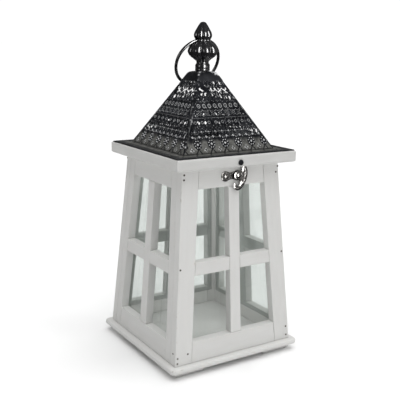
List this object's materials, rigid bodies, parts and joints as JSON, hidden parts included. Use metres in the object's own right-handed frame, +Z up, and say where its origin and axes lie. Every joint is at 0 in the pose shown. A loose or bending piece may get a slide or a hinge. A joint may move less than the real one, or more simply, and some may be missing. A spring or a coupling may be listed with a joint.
{
  "type": "candle lantern",
  "caption": "Tapered wooden candle lantern with glazed window frames, hinged lid, pierced pyramid metal roof, fluted finial, ring handle and swing latch.",
  "frame": {"origin": "on the floor under the middle of the lantern, at the height of its feet", "axes": "+Z up, the latch side faces -Y, +X to the right seen from the front"},
  "size_m": [0.2, 0.2, 0.4394],
  "materials": {
    "white_wood": "white paint, satin, slightly worn",
    "clear_glass": "clear float glass with a faint green tint",
    "black_sheet": "black paint over pierced steel sheet, rubbed bright on its high points",
    "black_gloss": "gloss black enamel",
    "nickel": "bright nickel plate",
    "hinge_steel": "zinc plated steel"
  },
  "bodies": {
    "root": {"base_board": "white_wood", "foot_front_left": "white_wood", "foot_front_right": "white_wood", "foot_back_left": "white_wood", "foot_back_right": "white_wood", "front_stile_left": "white_wood", "front_stile_right": "white_wood", "front_rail_bottom": "white_wood", "front_rail_top": "white_wood", "front_bar_upright": "white_wood", "front_bar_cross": "white_wood", "back_stile_left": "white_wood", "back_stile_right": "white_wood", "back_rail_bottom": "white_wood", "back_rail_top": "white_wood", "back_bar_upright": "white_wood", "back_bar_cross": "white_wood", "left_stile_left": "white_wood", "left_stile_right": "white_wood", "left_rail_bottom": "white_wood", "left_rail_top": "white_wood", "left_bar_upright": "white_wood", "left_bar_cross": "white_wood", "right_stile_left": "white_wood", "right_stile_right": "white_wood", "right_rail_bottom": "white_wood", "right_rail_top": "white_wood", "right_bar_upright": "white_wood", "right_bar_cross": "white_wood", "front_glass": "clear_glass", "back_glass": "clear_glass", "left_glass": "clear_glass", "right_glass": "clear_glass", "hinge_left_body_leaf": "hinge_steel", "hinge_left_pin": "hinge_steel", "hinge_left_body_screw_a": "hinge_steel", "hinge_left_body_screw_b": "hinge_steel", "hinge_right_body_leaf": "hinge_steel", "hinge_right_pin": "hinge_steel", "hinge_right_body_screw_a": "hinge_steel", "hinge_right_body_screw_b": "hinge_steel", "latch_plate": "nickel", "latch_screw": "nickel", "latch_pivot_rivet": "nickel"},
    "lid": {"lid_board": "white_wood", "roof_flange": "black_sheet", "roof_shell": "black_sheet", "roof_cap": "black_sheet", "finial": "black_gloss", "finial_nut": "hinge_steel", "lid_stud": "black_gloss", "hinge_left_lid_leaf": "hinge_steel", "hinge_left_lid_screw_a": "hinge_steel", "hinge_left_lid_screw_b": "hinge_steel", "hinge_right_lid_leaf": "hinge_steel", "hinge_right_lid_screw_a": "hinge_steel", "hinge_right_lid_screw_b": "hinge_steel"},
    "ring": {"ring_handle": "black_gloss"},
    "lever": {"latch_lever": "nickel"}
  },
  "joints": [
    {"name": "lid_hinge", "type": "hinge", "parent": "root", "child": "lid", "pos_m": [0, 0.07618, 0.2604], "axis": [-1, 0, 0], "range_deg": [0, 95]},
    {"name": "ring_swing", "type": "hinge", "parent": "lid", "child": "ring", "pos_m": [0, 0, 0.4167], "axis": [1, 0, 0], "range_deg": [0, 310]},
    {"name": "latch_turn", "type": "hinge", "parent": "root", "child": "lever", "pos_m": [0.0065, -0.07755, 0.24975], "axis": [0, 0.9974, -0.0723], "range_deg": [0, 115]}
  ]
}
